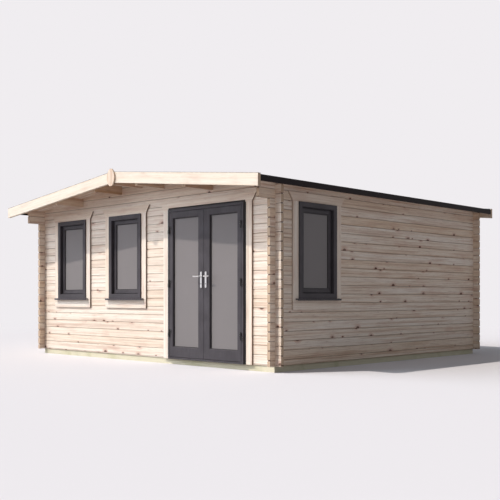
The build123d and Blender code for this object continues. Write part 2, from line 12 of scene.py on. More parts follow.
import bmesh
import bpy
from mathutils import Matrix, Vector


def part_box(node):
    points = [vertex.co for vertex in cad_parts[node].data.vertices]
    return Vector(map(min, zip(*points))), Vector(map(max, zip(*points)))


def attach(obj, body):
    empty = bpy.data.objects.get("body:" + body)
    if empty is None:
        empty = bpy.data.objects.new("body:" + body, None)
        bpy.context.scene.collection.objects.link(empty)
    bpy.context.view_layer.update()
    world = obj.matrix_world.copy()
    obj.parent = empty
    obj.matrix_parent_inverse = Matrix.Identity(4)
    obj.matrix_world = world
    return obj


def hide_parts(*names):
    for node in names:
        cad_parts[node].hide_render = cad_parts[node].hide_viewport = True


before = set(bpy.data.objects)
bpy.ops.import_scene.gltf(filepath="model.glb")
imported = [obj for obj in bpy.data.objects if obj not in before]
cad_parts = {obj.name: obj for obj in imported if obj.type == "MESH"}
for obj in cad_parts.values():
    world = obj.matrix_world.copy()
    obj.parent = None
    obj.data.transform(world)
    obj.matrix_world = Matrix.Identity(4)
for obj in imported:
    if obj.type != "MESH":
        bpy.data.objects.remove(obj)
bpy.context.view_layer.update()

logging.basicConfig(level=logging.INFO, format="%(message)s")
log = logging.getLogger("cabin")

MM = 0.001
SEAT = 0.2 * MM  # between a seal or bead and the surface that it meets
SUNK = 0.3 * MM  # how far the foot of a nail or screw head lies under the surface
FELT_SEAT = 3.4 * MM  # from the roof boards to the felt sheets, which lie on 3 mm of packed felt
SHEET_INSET = 4 * MM  # from the ends of the roof boards to the ends of the felt sheets
AMOUNT, LOWER, UPPER = 0, 6, 7  # inputs of the Mix node for colours
PLAIN_AMOUNT, PLAIN_A, PLAIN_B = 0, 2, 3  # and for plain numbers

Point = tuple[float, float, float]
Edges = tuple[float, float, float, float]  # lowest and highest along a wall, then up it
Source = bpy.types.Node | bpy.types.NodeSocket


class Axis(Enum):
    """Direction along which a timber's grain runs, or across which its logs or boards follow each other."""

    X = 0
    Y = 1
    Z = 2


def linear(colour: str) -> tuple[float, float, float, float]:
    """Turns an sRGB hex colour into linear light.

    Args:
        colour: Six hex digits after a hash.

    Returns:
        Linear red, green and blue, and an alpha of 1.
    """
    channels = [int(colour[i : i + 2], 16) / 255 for i in (1, 3, 5)]
    return (*(c / 12.92 if c <= 0.04045 else ((c + 0.055) / 1.055) ** 2.4 for c in channels), 1.0)


class Wiring:
    """The nodes of a material or of the world, under construction."""

    def __init__(self, owner: bpy.types.Material | bpy.types.World) -> None:
        """Empties the node tree.

        Args:
            owner: The new material or world.
        """
        owner.use_nodes = True
        self.tree = owner.node_tree
        self.tree.nodes.clear()

    @cached_property
    def where(self) -> bpy.types.NodeSocket:
        """Place on the surface, in metres."""
        return self.add("TexCoord").outputs["Object"]

    def add(
        self,
        kind: str,
        inputs: dict[str | int, Any] | Sequence[Any] = (),
        stops: Sequence[tuple[float, str]] = (),
        **settings: Any,
    ) -> bpy.types.Node:
        """Adds one node with its settings and links.

        Args:
            kind: Blender's name of the node, less the "ShaderNode" that starts them all.
            inputs: What its inputs take, in order or by name or index: a number, a hex colour, a socket to
                link, or a node, which links by its first output in use.
            stops: Places and hex colours of a colour ramp.
            **settings: Attributes of the node.

        Returns:
            The new node.
        """
        node = self.tree.nodes.new(f"ShaderNode{kind}")
        for name, value in settings.items():
            setattr(node, name, value)
        for key, value in inputs.items() if isinstance(inputs, dict) else enumerate(inputs):
            if isinstance(value, bpy.types.Node):
                value = next(socket for socket in value.outputs if socket.enabled)
            if isinstance(value, bpy.types.NodeSocket):
                self.tree.links.new(value, node.inputs[key])
            else:
                node.inputs[key].default_value = linear(value) if isinstance(value, str) else value
        if stops:
            ramp = node.color_ramp.elements
            while len(ramp) < len(stops):
                ramp.new(1.0)
            for element, (place, colour) in zip(ramp, stops):
                element.position = place
                element.color = linear(colour)
        return node

    def distance(self, first: Source, second: Source) -> bpy.types.Node:
        """How far a place lies from the origin of its two measures."""
        squares = [self.add("Math", [measure, 2.0], operation="POWER") for measure in (first, second)]
        return self.add("Math", [self.add("Math", squares, operation="ADD")], operation="SQRT")

    def seen(self) -> bpy.types.Node:
        """Whether the camera sees a place, straight or by way of gloss or glass.

        Returns:
            1 if it does and 0 if not.
        """
        rays = self.add("LightPath").outputs
        seen = self.add("Math", [rays["Is Camera Ray"], rays["Is Glossy Ray"]], operation="MAXIMUM")
        return self.add("Math", [seen, rays["Is Transmission Ray"]], operation="MAXIMUM")


@dataclass(frozen=True)
class Finish:
    """What a piece is made of; each kind of finish wires the look of its own surface."""

    name: str

    def build(self) -> bpy.types.Material:
        """Makes the material.

        Returns:
            The finished material.
        """
        material = bpy.data.materials.new(self.name)
        web = Wiring(material)
        shader = web.add("BsdfPrincipled", self.surface(web))
        web.add("OutputMaterial", {"Surface": shader})
        return material

    def surface(self, web: Wiring) -> dict[str, Any]:
        """What the inputs of the surface shader take, by name."""
        raise NotImplementedError


@dataclass(frozen=True)
class PlanedSpruce(Finish):
    """Planed Nordic spruce, untreated: pale, with warm streaks along the grain and scattered brown knots.

    Knots and streaks start afresh in each log or board, as they do in a stack of separate pieces.
    """

    grain: Axis
    courses: Axis
    pitch: float  # from one log or board to the next
    foot: float = 0.0  # where the first one starts
    knot_share: float = 0.16  # of the stretches of timber that hold a knot
    face: Axis | None = None  # way that a flat board looks, where painted shade makes its edges darker than its face
    edge_shade: float = 0.72  # how strong that painted shade is
    joint: float = 0.0  # half the width of the painted shade line between one log or board and the next
    fall: float = 0.0  # how steeply the grain falls away from the ridge, on pieces that follow the roof
    contrast: float = 1.0  # of the grain
    pale: str = "#FAEFE1"
    honey: str = "#F1E1CE"
    streak: str = "#CBAE9A"
    red: str = "#CDA28E"
    fleck: str = "#9C7C66"
    knot: str = "#5A3524"
    knot_edge: str = "#341D13"
    # colour of the painted shade on board edges and between logs or boards
    shadow: str = "#5B4436"
    end: str = "#CDB49A"
    end_ring: str = "#AC8D6E"
    turn_above: float | None = None  # head boards above this height run across the others
    turn_below: float | None = None  # and so do foot boards below this one
    seed: float = 0.0
    restart: float = 61.0  # the most that the pattern moves on from one log to the next
    streak_size: tuple[float, float] = (700 * MM, 9 * MM)  # length and width
    band_size: tuple[float, float] = (1600 * MM, 34 * MM)
    fleck_size: tuple[float, float] = (150 * MM, 5 * MM)
    cloud_size: tuple[float, float] = (420 * MM, 120 * MM)
    grain_bend: float = 9 * MM  # how far the grain swerves round a knot
    knot_stretch: float = 260 * MM  # length of timber that holds one knot at most
    knot_radius: float = 6.5 * MM  # of the smallest
    knot_growth: float = 13 * MM  # how much wider the largest is
    ring_width: float = 1.1 * MM  # a ring about every 7 mm, drawn coarser than real so that it shows
    pith_spread: float = 60 * MM  # how far the heart of the tree lies off, from piece to piece
    ring_swell: float = 12 * MM  # how far the rings stray from circles
    swell_scale: float = 18.0  # about every 55 mm
    chance_offset: float = 0.37  # keeps a log's number off the whole ones
    roughness: float = 0.62  # planed and unsealed, so it has a broad soft sheen
    gloss: float = 0.25

    def surface(self, web: Wiring) -> dict[str, Any]:
        """Streaks, knots, end grain, and painted shade on board edges and along the lines between logs or
        boards.

        Args:
            web: The nodes under construction.

        Returns:
            What the inputs of the surface shader take.
        """
        along, up, across = self._directions(web)
        rise = web.add("Math", [up, self.foot], operation="SUBTRACT")
        course = web.add("Math", [rise, self.pitch], operation="DIVIDE")
        number = web.add("Math", [course], operation="FLOOR")
        number = web.add("Math", [number, self.seed + self.chance_offset], operation="ADD")
        chance = web.add("TexWhiteNoise", {"W": number}, noise_dimensions="1D").outputs["Color"]
        shift_chance, tone_chance, ring_chance = web.add("SeparateColor", [chance]).outputs
        along = web.add("Math", [shift_chance, self.restart, along], operation="MULTIPLY_ADD")
        knots = self._knots(web, along, course)
        bent = web.add("Math", [knots["bend"], self.grain_bend, up], operation="MULTIPLY_ADD")
        streaks = self._drawn_out(web, (along, bent, across), self.streak_size, 5.0)
        bands = self._drawn_out(web, (along, bent, across), self.band_size, 3.0)
        flecks = self._drawn_out(web, (along, bent, across), self.fleck_size, 3.0)
        clouds = self._drawn_out(web, (along, up, across), self.cloud_size, 2.0)
        masks = []
        for pattern, start, full, strength in (
            (streaks, 0.47, 0.70, 0.85 * self.contrast),
            (flecks, 0.56, 0.72, 0.6 * self.contrast),
            (clouds, 0.52, 0.74, 0.42),
        ):
            inputs = {"Value": pattern, "From Min": start, "From Max": full, "To Max": strength}
            masks.append(web.add("MapRange", inputs))
        in_bands = web.add("Math", [bands, 1.3, 0.1], operation="MULTIPLY_ADD")
        warmth = web.add("Math", [masks[2], in_bands], operation="MULTIPLY")
        tone = web.add("Math", [tone_chance, 1.5], operation="POWER")
        tone = web.add("Math", [tone, 0.7 * self.contrast], operation="MULTIPLY")
        stops = ((0.30, self.pale), (0.44, self.pale), (0.54, self.honey), (0.70, self.streak))
        facing = web.add("SeparateXYZ", [web.add("TexCoord").outputs["Normal"]]).outputs
        lengthwise = web.add("Math", [facing[self.grain.value]], operation="ABSOLUTE")
        cut = web.add("Math", [lengthwise, 0.9], operation="GREATER_THAN")
        layers = [
            (self.contrast, web.add("ValToRGB", [bands], stops), "MIX"),
            (masks[0], self.streak, "MIX"),
            (masks[1], self.fleck, "MIX"),
            (warmth, self.red, "MIX"),
            (tone, self.honey, "MULTIPLY"),
            (knots["halo"], self.red, "MIX"),
            (knots["edge"], self.knot_edge, "MIX"),
            (knots["core"], self.knot, "MIX"),
            (cut, self._end_grain(web, up, across, ring_chance), "MIX"),
        ]
        # painted shade: the edges of a flat board are darkened as if they lay in shade
        if self.face is not None:
            flat = web.add("Math", [facing[self.face.value]], operation="ABSOLUTE")
            edge = web.add("Math", [flat, 0.5], operation="LESS_THAN")
            shaded = web.add("Math", [edge, self.edge_shade], operation="MULTIPLY")
            layers.append((shaded, self.shadow, "MIX"))
        # painted shade along the lines between logs or boards, heavier on their ends
        if self.joint:
            layers.append((self._painted_joint_shade(web, rise, lengthwise), self.shadow, "MIX"))
        wood = self.pale
        for amount, colour, how in layers:
            inputs = {AMOUNT: amount, LOWER: wood, UPPER: colour}
            wood = web.add("Mix", inputs, data_type="RGBA", blend_type=how)
        relief = web.add("Math", [knots["edge"], -0.6, streaks], operation="MULTIPLY_ADD")
        bump = web.add("Bump", {"Height": relief, "Strength": 0.35, "Distance": 0.6 * MM})
        rough = web.add("Math", [streaks, 0.16, self.roughness - 0.08], operation="MULTIPLY_ADD")
        gloss = {"IOR": 1.5, "Specular IOR Level": self.gloss}
        return {"Base Color": wood, "Roughness": rough, "Normal": bump, **gloss}

    def _directions(self, web: Wiring) -> list[Source]:
        """Places along the grain, up the courses and through the thickness.

        Args:
            web: The nodes under construction.

        Returns:
            The three of them, turned where head and foot boards run across the others.
        """
        place = web.add("SeparateXYZ", [web.where]).outputs
        other = next(a for a in Axis if a not in (self.grain, self.courses))
        along, up, across = (place[axis.value] for axis in (self.grain, self.courses, other))
        if self.fall:
            away = web.add("Math", [along], operation="ABSOLUTE")
            up = web.add("Math", [away, self.fall, up], operation="MULTIPLY_ADD")
        if self.turn_above is None:
            return [along, up, across]
        turned = web.add("Math", [place["Z"], self.turn_above], operation="GREATER_THAN")
        if self.turn_below is not None:
            below = web.add("Math", [place["Z"], self.turn_below], operation="LESS_THAN")
            turned = web.add("Math", [turned, below], operation="MAXIMUM")
        swapped = []
        for first, second in ((along, up), (up, along)):
            inputs = {PLAIN_AMOUNT: turned, PLAIN_A: first, PLAIN_B: second}
            swapped.append(web.add("Mix", inputs, data_type="FLOAT"))
        return [*swapped, across]

    def _drawn_out(
        self, web: Wiring, where: Sequence[Source], size: tuple[float, float], detail: float
    ) -> bpy.types.Node:
        """A pattern drawn out along the grain.

        Args:
            web: The nodes under construction.
            where: Places along the grain, up the courses and through the thickness.
            size: Length and width of a streak.
            detail: Octaves of finer noise.

        Returns:
            The pattern.
        """
        long, wide = size
        spans = (long, wide, 2 * wide)
        parts = [web.add("Math", [w, span], operation="DIVIDE") for w, span in zip(where, spans)]
        vector = web.add("CombineXYZ", parts)
        return web.add("TexNoise", {"Vector": vector, "Scale": 1.0, "Detail": detail, "Roughness": 0.58})

    def _knots(self, web: Wiring, along: Source, course: Source) -> dict[str, bpy.types.Node]:
        """Scatters knots, at most one in each stretch of each log.

        Args:
            web: The nodes under construction.
            along: Place along the grain.
            course: Place across the courses, counted in them.

        Returns:
            Masks for the core, edge and halo of the knots, and how far the grain bends round them.
        """
        stretch = web.add("Math", [along, self.knot_stretch], operation="DIVIDE")
        vector = web.add("CombineXYZ", [stretch, course])
        inputs = {"Vector": vector, "Scale": 1.0, "Randomness": 0.72}
        cells = web.add("TexVoronoi", inputs, voronoi_dimensions="2D").outputs
        spot = web.add("SeparateXYZ", [cells["Position"]]).outputs
        size_chance, place_chance, shade_chance = web.add("SeparateColor", [cells["Color"]]).outputs
        offsets = []
        for place, middle, length in (
            (stretch, spot[0], self.knot_stretch * 0.62),  # so that knots are longer than they are high
            (course, spot[1], self.pitch),
        ):
            offset = web.add("Math", [place, middle], operation="SUBTRACT")
            offsets.append(web.add("Math", [offset, length], operation="MULTIPLY"))
        size = web.add("Math", [size_chance, 2.0], operation="POWER")
        size = web.add("Math", [size, self.knot_growth, self.knot_radius], operation="MULTIPLY_ADD")
        there = web.add("Math", [place_chance, self.knot_share], operation="LESS_THAN")
        size = web.add("Math", [size, there], operation="MULTIPLY")
        size = web.add("Math", [size, 0.01 * MM], operation="MAXIMUM")  # never nothing, to divide by it
        ratio = web.add("Math", [web.distance(*offsets), size], operation="DIVIDE")
        masks = {}
        for name, start, end, strength in (  # in multiples of the knot's radius
            ("core", 0.72, 1.0, 0.85),
            ("edge", 1.0, 1.28, 0.9),
            ("halo", 1.2, 3.4, 0.55),
            ("bend", 0.6, 4.0, 1.0),
        ):
            inputs = {"Value": ratio, "From Min": start, "From Max": end, "To Min": strength, "To Max": 0.0}
            masks[name] = web.add("MapRange", inputs, interpolation_type="SMOOTHSTEP")
        dark = web.add("Math", [shade_chance, 0.55, 0.45], operation="MULTIPLY_ADD")
        for name in ("core", "edge"):
            masks[name] = web.add("Math", [masks[name], dark], operation="MULTIPLY")
        return masks

    def _end_grain(self, web: Wiring, up: Source, across: Source, chance: Source) -> bpy.types.Node:
        """Growth rings where a piece is cut across its grain.

        Args:
            web: The nodes under construction.
            up: Place across the courses.
            across: Place through the thickness.
            chance: A number that differs from piece to piece.

        Returns:
            Their colour.
        """
        pith = web.add("Math", [chance, self.pith_spread, up], operation="MULTIPLY_ADD")
        away = web.distance(across, pith)
        wobble = web.add("TexNoise", {"Vector": web.where, "Scale": self.swell_scale, "Detail": 2.0})
        away = web.add("Math", [wobble, self.ring_swell, away], operation="MULTIPLY_ADD")
        rings = web.add("Math", [away, self.ring_width], operation="DIVIDE")
        rings = web.add("Math", [rings], operation="SINE")
        mask = web.add("MapRange", {"Value": rings, "From Min": 0.1, "From Max": 1.0, "To Max": 0.6})
        return web.add("Mix", {AMOUNT: mask, LOWER: self.end, UPPER: self.end_ring}, data_type="RGBA")

    def _painted_joint_shade(self, web: Wiring, rise: Source, lengthwise: Source) -> bpy.types.Node:
        """Painted shade line between one log or board and the next, wider and darker on their ends.

        Args:
            web: The nodes under construction.
            rise: Place across the courses, from the foot of the first one.
            lengthwise: How squarely the surface faces along the grain.

        Returns:
            How dark the painted shade is.
        """
        at_end = web.add("Math", [lengthwise, 0.5], operation="GREATER_THAN")
        near = web.add("Math", [rise, self.pitch / 2], operation="PINGPONG")
        width = web.add("Math", [at_end, 1.4, 1.0], operation="MULTIPLY_ADD")
        near = web.add("Math", [near, width], operation="DIVIDE")
        limits = {"From Min": self.joint * 0.4, "From Max": self.joint, "To Min": 1.0, "To Max": 0.0}
        line = web.add("MapRange", {"Value": near, **limits}, interpolation_type="SMOOTHSTEP")
        depth = web.add("Math", [at_end, 0.35, 0.5], operation="MULTIPLY_ADD")
        return web.add("Math", [line, depth], operation="MULTIPLY")


@dataclass(frozen=True)
class TreatedTimber(Finish):
    """Pressure treated base timber: pale green with dry patches, sawn and not planed."""

    name: str = "treated_base_timber"
    pale: str = "#DFD7BC"
    green: str = "#C6C19C"
    stain: str = "#A89F7E"
    patch_scale: float = 3.0  # dry patches about 330 mm across
    saw_scale: Point = (6.0, 6.0, 220.0)  # saw marks about 4.5 mm apart and 170 mm long

    def surface(self, web: Wiring) -> dict[str, Any]:
        """Dry patches under lines of stain in the saw marks.

        Args:
            web: The nodes under construction.

        Returns:
            What the inputs of the surface shader take.
        """
        patches = web.add("TexNoise", {"Vector": web.where, "Scale": self.patch_scale, "Detail": 4.0})
        drawn = web.add("Mapping", {"Vector": web.where, "Scale": self.saw_scale})
        saw = web.add("TexNoise", {"Vector": drawn, "Scale": 1.0, "Detail": 4.0})
        colour = web.add("ValToRGB", [patches], ((0.30, self.pale), (0.55, self.pale), (0.78, self.green)))
        lines = web.add("MapRange", {"Value": saw, "From Min": 0.52, "From Max": 0.75, "To Max": 0.45})
        colour = web.add("Mix", {AMOUNT: lines, LOWER: colour, UPPER: self.stain}, data_type="RGBA")
        bump = web.add("Bump", {"Height": saw, "Strength": 0.5, "Distance": 0.8 * MM})
        return {"Base Color": colour, "Roughness": 0.8, "Specular IOR Level": 0.2, "Normal": bump}


@dataclass(frozen=True)
class MineralFelt(Finish):
    """Bitumen roofing felt faced with fine mineral chips, which give it a dry sparkle."""

    name: str = "mineral_felt"
    base: str = "#2B2B2D"
    chip: str = "#5E6062"
    dark: str = "#101012"
    tone: float = 0.0  # how much darker one sheet is than the next
    chip_size: float = 2.2 * MM
    wear_scale: float = 1.7  # worn patches about 590 mm across
    roughness: float = 0.92

    def surface(self, web: Wiring) -> dict[str, Any]:
        """Chips of a few greys, worn pale in patches.

        Args:
            web: The nodes under construction.

        Returns:
            What the inputs of the surface shader take.
        """
        chips = web.add("TexVoronoi", {"Vector": web.where, "Scale": 1 / self.chip_size}).outputs
        shade = web.add("SeparateColor", [chips["Color"]])
        colour = web.add("ValToRGB", [shade], ((0.0, self.base), (0.7, self.base), (1.0, self.chip)))
        worn = web.add("TexNoise", {"Vector": web.where, "Scale": self.wear_scale, "Detail": 5.0})
        worn = web.add("MapRange", {"Value": worn, "From Min": 0.45, "From Max": 0.8, "To Max": 0.16})
        for amount, over in ((worn, self.chip), (self.tone, self.dark)):
            colour = web.add("Mix", {AMOUNT: amount, LOWER: colour, UPPER: over}, data_type="RGBA")
        bump = web.add("Bump", {"Height": chips["Distance"], "Strength": 0.6, "Distance": 1.0 * MM})
        return {"Base Color": colour, "Roughness": self.roughness, "Normal": bump}


@dataclass(frozen=True)
class FoiledPvc(Finish):
    """PVC-U section with a laminated foil, embossed with a fine grain and satin to the eye."""

    base: str = "#534F52"
    shade: str = "#464245"
    grain: Axis = Axis.Z
    roughness: float = 0.36
    gloss: float = 0.12
    emboss: float = 0.25 * MM
    line_scale: float = 420.0  # lines about 2.4 mm apart, drawn coarser than real so that they show
    length_scale: float = 9.0  # and about 110 mm long
    cloud_size: float = 250 * MM

    def surface(self, web: Wiring) -> dict[str, Any]:
        """Fine lines along the section under a faint cloud.

        Args:
            web: The nodes under construction.

        Returns:
            What the inputs of the surface shader take.
        """
        scale = [self.length_scale if axis is self.grain else self.line_scale for axis in Axis]
        drawn = web.add("Mapping", {"Vector": web.where, "Scale": scale})
        lines = web.add("TexNoise", {"Vector": drawn, "Scale": 1.0, "Detail": 3.0})
        cloud = web.add("TexNoise", {"Vector": web.where, "Scale": 1 / self.cloud_size, "Detail": 3.0})
        mask = web.add("Math", [lines, cloud], operation="MULTIPLY")
        mask = web.add("MapRange", {"Value": mask, "From Min": 0.16, "From Max": 0.36})
        colour = web.add("Mix", {AMOUNT: mask, LOWER: self.shade, UPPER: self.base}, data_type="RGBA")
        bump = web.add("Bump", {"Height": lines, "Strength": 0.30, "Distance": self.emboss})
        rough = web.add("Math", [cloud, 0.12, self.roughness - 0.06], operation="MULTIPLY_ADD")
        return {"Base Color": colour, "Roughness": rough, "Specular IOR Level": self.gloss, "Normal": bump}


@dataclass(frozen=True)
class GreyGlass(Finish):
    """Double glazing before a grey screen: the glass reflects, and the screen shows as an even grey."""

    name: str = "grey_screened_glass"
    screen: str = "#898382"
    haze: str = "#807B79"
    roughness: float = 0.06
    gloss: float = 0.16
    clearness: float = 0.03  # share of the light that passes
    haze_scale: float = 1.4  # haze about 710 mm across

    def surface(self, web: Wiring) -> dict[str, Any]:
        """Even grey with a breath of haze.

        Args:
            web: The nodes under construction.

        Returns:
            What the inputs of the surface shader take.
        """
        haze = web.add("TexNoise", {"Vector": web.where, "Scale": self.haze_scale, "Detail": 2.0})
        colour = web.add("Mix", {AMOUNT: haze, LOWER: self.screen, UPPER: self.haze}, data_type="RGBA")
        smear = web.add("Math", [haze, 0.04, self.roughness - 0.02], operation="MULTIPLY_ADD")
        gloss = {"Specular IOR Level": self.gloss, "Transmission Weight": self.clearness}
        return {"Base Color": colour, "Roughness": smear, **gloss}


@dataclass(frozen=True)
class Metal(Finish):
    """Metal or lacquered metal with a brushed or cast surface."""

    base: str
    shade: str
    metallic: float = 1.0
    roughness: float = 0.3
    grit: float = 0.5 * MM  # spacing of the fine marks
    cloud_scale: float = 30.0  # clouds about 33 mm across

    def surface(self, web: Wiring) -> dict[str, Any]:
        """Fine marks over a faint cloud.

        Args:
            web: The nodes under construction.

        Returns:
            What the inputs of the surface shader take.
        """
        marks = web.add("TexNoise", {"Vector": web.where, "Scale": 1 / self.grit, "Detail": 2.0})
        cloud = web.add("TexNoise", {"Vector": web.where, "Scale": self.cloud_scale, "Detail": 3.0})
        colour = web.add("Mix", {AMOUNT: cloud, LOWER: self.base, UPPER: self.shade}, data_type="RGBA")
        rough = web.add("Math", [marks, 0.14, self.roughness - 0.07], operation="MULTIPLY_ADD")
        bump = web.add("Bump", {"Height": marks, "Strength": 0.12, "Distance": 0.1 * MM})
        return {"Base Color": colour, "Metallic": self.metallic, "Roughness": rough, "Normal": bump}


@dataclass(frozen=True)
class Rubber(Finish):
    """Extruded rubber seal: black, matt, with a faint bloom."""

    name: str = "black_seal"
    base: str = "#0E0D0E"
    bloom: str = "#232224"
    bloom_size: float = 40 * MM

    def surface(self, web: Wiring) -> dict[str, Any]:
        """Black with a greyish cloud.

        Args:
            web: The nodes under construction.

        Returns:
            What the inputs of the surface shader take.
        """
        cloud = web.add("TexNoise", {"Vector": web.where, "Scale": 1 / self.bloom_size, "Detail": 4.0})
        colour = web.add("Mix", {AMOUNT: cloud, LOWER: self.base, UPPER: self.bloom}, data_type="RGBA")
        bump = web.add("Bump", {"Height": cloud, "Strength": 0.2, "Distance": 0.2 * MM})
        return {"Base Color": colour, "Roughness": 0.6, "Normal": bump}


class Shape:
    """A mesh under construction, made of closed blocks in the frame of the whole cabin."""

    def __init__(self) -> None:
        """Starts with nothing."""
        self.mesh = bmesh.new()

    def loft(self, near_outline: Iterable[Sequence[float]], far_outline: Iterable[Sequence[float]]) -> None:
        """Adds a closed block between two outlines of as many corners.

        Args:
            near_outline: Corners of one end, in order.
            far_outline: Corners of the other end, in the same order.
        """
        near, far = ([self.mesh.verts.new(p) for p in outline] for outline in (near_outline, far_outline))
        faces = [self.mesh.faces.new(near), self.mesh.faces.new(far[::-1])]
        for i, _ in enumerate(near):
            j = (i + 1) % len(near)
            faces.append(self.mesh.faces.new((near[j], near[i], far[i], far[j])))
        bmesh.ops.recalc_face_normals(self.mesh, faces=faces)

    def prism(self, outline: Sequence[Point], shift: Point) -> None:
        """Adds a closed block of one section.

        Args:
            outline: Corners of one end, in order.
            shift: From that end to the other.
        """
        self.loft(outline, [Vector(p) + Vector(shift) for p in outline])

    def disc(
        self, centre: Point, outward: Point, radius: float, height: float, sides: int = 12, dome: float = 0.25
    ) -> None:
        """Adds a round head, such as a nail's or a screw's.

        Args:
            centre: Middle of its foot.
            outward: Unit vector away from the surface.
            radius: Radius of the foot.
            height: How far it stands out.
            sides: Corners round it.
            dome: How much its top is narrower than its foot, as a share.
        """
        axis = Vector(outward)
        across = axis.orthogonal().normalized()
        up = axis.cross(across)
        angles = [2 * math.pi * i / sides for i in range(sides)]
        foot, top = Vector(centre), Vector(centre) + axis * height
        top_radius = radius * (1 - dome)
        self.loft(
            [foot + radius * (math.cos(a) * across + math.sin(a) * up) for a in angles],
            [top + top_radius * (math.cos(a) * across + math.sin(a) * up) for a in angles],
        )

    def heads(self, places: Iterable[Point], outward: Point, radius: float) -> None:
        """Adds the heads of nails or screws.

        Args:
            places: Middle of each head, on the surface.
            outward: Unit vector away from the surface.
            radius: Radius of a head.
        """
        for place in places:
            self.disc(tuple(Vector(place) - Vector(outward) * SUNK), outward, radius, 1.0 * MM)

    def finish(self, name: str, material: bpy.types.Material, body: str, slot: str) -> bpy.types.Object:
        """Turns the mesh into a piece that rides on a body.

        Args:
            name: The piece's name.
            material: Its finish.
            body: The body that carries it.
            slot: The record's material slot; not used.

        Returns:
            The new object.
        """
        data = bpy.data.meshes.new(name)
        self.mesh.to_mesh(data)
        self.mesh.free()
        data.materials.append(material)
        piece = bpy.data.objects.new(name, data)
        bpy.context.collection.objects.link(piece)
        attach(piece, body)
        log.info("%s: %d faces on %s", name, len(data.polygons), body)
        return piece


def dress(material: bpy.types.Material, *nodes: str) -> None:
    """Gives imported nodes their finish.

    Args:
        material: The finish.
        *nodes: The nodes' names.
    """
    for node in nodes:
        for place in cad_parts[node].material_slots:
            place.material = material
        log.info("%s: %s", node, material.name)


@dataclass
class LogWalls:
    """The four walls: logs of one height, laid half a course apart where they cross."""

    course: float = 110 * MM
    datum: float = 87 * MM  # from the ground to the foot of the first full course
    # half the width of the painted shade line between logs
    joint: float = 5 * MM
    walls: tuple[tuple[str, Axis, float, float], ...] = (  # grain, courses that it starts higher, contrast
        ("front_wall", Axis.X, 0.0, 0.6),
        ("back_wall", Axis.X, 0.0, 0.75),
        ("left_wall", Axis.Y, 0.5, 0.75),
        ("right_wall", Axis.Y, 0.5, 0.95),
    )

    def dress(self) -> None:
        """Finishes the walls, with the grain along the logs."""
        for number, (name, grain, rise, contrast) in enumerate(self.walls):
            spruce = PlanedSpruce(
                f"spruce_logs_{name}",
                grain=grain,
                courses=Axis.Z,
                pitch=self.course,
                foot=self.datum + rise * self.course,
                joint=self.joint,
                contrast=contrast,
                seed=31.0 * number,
            )
            dress(spruce.build(), name)


@dataclass
class Base:
    """Bearers, joists and the boarded floor."""

    board: float = 113 * MM
    joint: float = 1.2 * MM  # chamfer along the edges of a board
    gap: float = 0.3 * MM  # between one board and the next

    def dress(self) -> None:
        """Finishes the base timbers and lays the floor."""
        dress(TreatedTimber().build(), "base_bearers", "floor_joists")
        low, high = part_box("floorboards")
        count = round((high[1] - low[1]) / self.board)
        pitch = (high[1] - low[1]) / count
        shape = Shape()
        foot, top, c = low[2], high[2], self.joint
        for i in range(count):
            y0, y1 = low[1] + i * pitch, low[1] + (i + 1) * pitch - self.gap
            outline = [(y0, foot), (y1, foot), (y1, top - c), (y1 - c, top), (y0 + c, top), (y0, top - c)]
            shape.prism([(low[0], y, z) for y, z in outline], (high[0] - low[0], 0, 0))
        spruce = PlanedSpruce("spruce_floor", Axis.X, Axis.Y, pitch, foot=low[1], seed=5.0)
        piece = shape.finish("floor_planks", spruce.build(), "cabin", "timber")
        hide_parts("floorboards")


